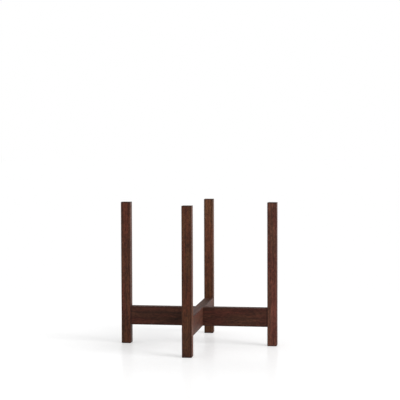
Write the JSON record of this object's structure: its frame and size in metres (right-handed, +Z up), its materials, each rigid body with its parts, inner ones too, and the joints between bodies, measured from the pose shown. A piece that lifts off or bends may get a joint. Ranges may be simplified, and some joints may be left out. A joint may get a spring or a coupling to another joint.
{
  "type": "plant stand",
  "caption": "Low wooden plant stand with straight square legs and two rails that cross between them, holding a round pot on the cross.",
  "frame": {"origin": "centre of the stand on the floor, straight below the middle of the crossed rails", "axes": "+Z up; +X to the right leg and -Y to the front leg, along the two rails"},
  "size_m": [0.329, 0.329, 0.299],
  "materials": {
    "leg_wood": "dark walnut stain under a satin clear coat",
    "rail_wood": "dark walnut stain under a satin clear coat",
    "dowel_wood": "bare beech"
  },
  "bodies": {
    "root": {"front_leg": "leg_wood", "back_leg": "leg_wood", "left_leg": "leg_wood", "right_leg": "leg_wood", "left_right_rail": "rail_wood", "front_back_rail": "rail_wood", "front_lower_dowel": "dowel_wood", "front_upper_dowel": "dowel_wood", "back_lower_dowel": "dowel_wood", "back_upper_dowel": "dowel_wood", "left_lower_dowel": "dowel_wood", "left_upper_dowel": "dowel_wood", "right_lower_dowel": "dowel_wood", "right_upper_dowel": "dowel_wood"}
  },
  "joints": []
}
